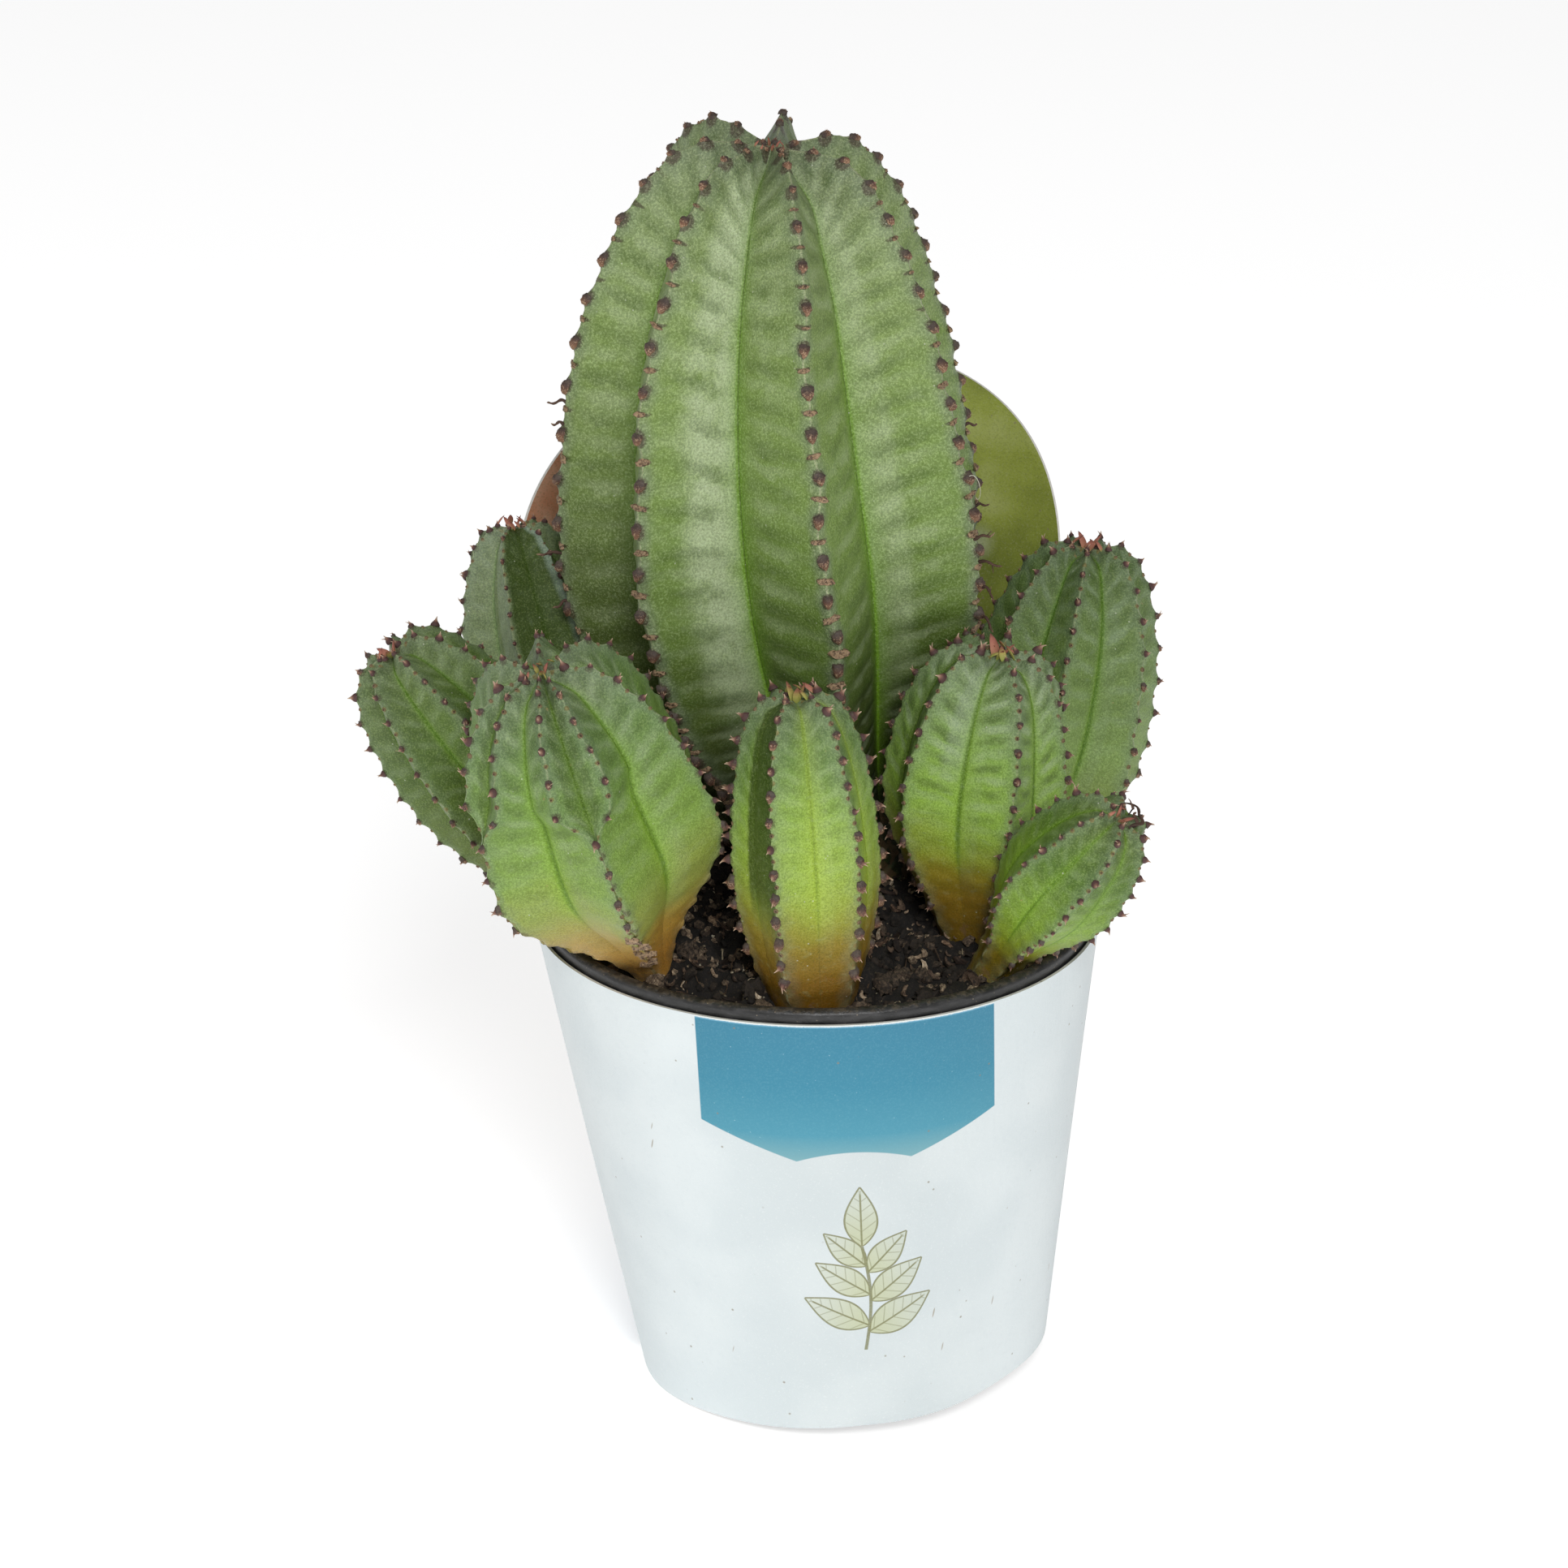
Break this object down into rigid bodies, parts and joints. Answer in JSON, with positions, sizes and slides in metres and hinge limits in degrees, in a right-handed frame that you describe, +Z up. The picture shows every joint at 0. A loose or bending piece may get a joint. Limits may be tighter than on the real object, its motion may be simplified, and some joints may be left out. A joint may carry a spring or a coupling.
{
  "type": "potted euphorbia",
  "caption": "Ribbed columnar succulent with shorter ribbed offsets round its foot, in a round nursery pot inside a tapered card sleeve with a tall rounded back.",
  "frame": {"origin": "centre of the nursery pot's flat base, on the surface that it stands on", "axes": "+Z up, along the pot's axis and the stems; -Y towards the front, where the sleeve's banner is; +X to the right as seen from the front; the sleeve's tall back is on the +Y side"},
  "size_m": [0.1297, 0.1242, 0.2069],
  "materials": {
    "pot_plastic": "satin",
    "printed_card": "matte",
    "peat_mix": "matte",
    "main_stem_skin": "satin",
    "offset_skin": "satin"
  },
  "bodies": {
    "root": {"nursery_pot": "pot_plastic", "paper_sleeve": "printed_card", "potting_mix": "peat_mix", "main_stem": "main_stem_skin", "offset_back_left": "offset_skin", "offset_left": "offset_skin", "offset_front_left": "offset_skin", "offset_front_centre": "offset_skin", "offset_front_right": "offset_skin", "offset_back_right": "offset_skin", "offset_front_right_small": "offset_skin"}
  },
  "joints": []
}
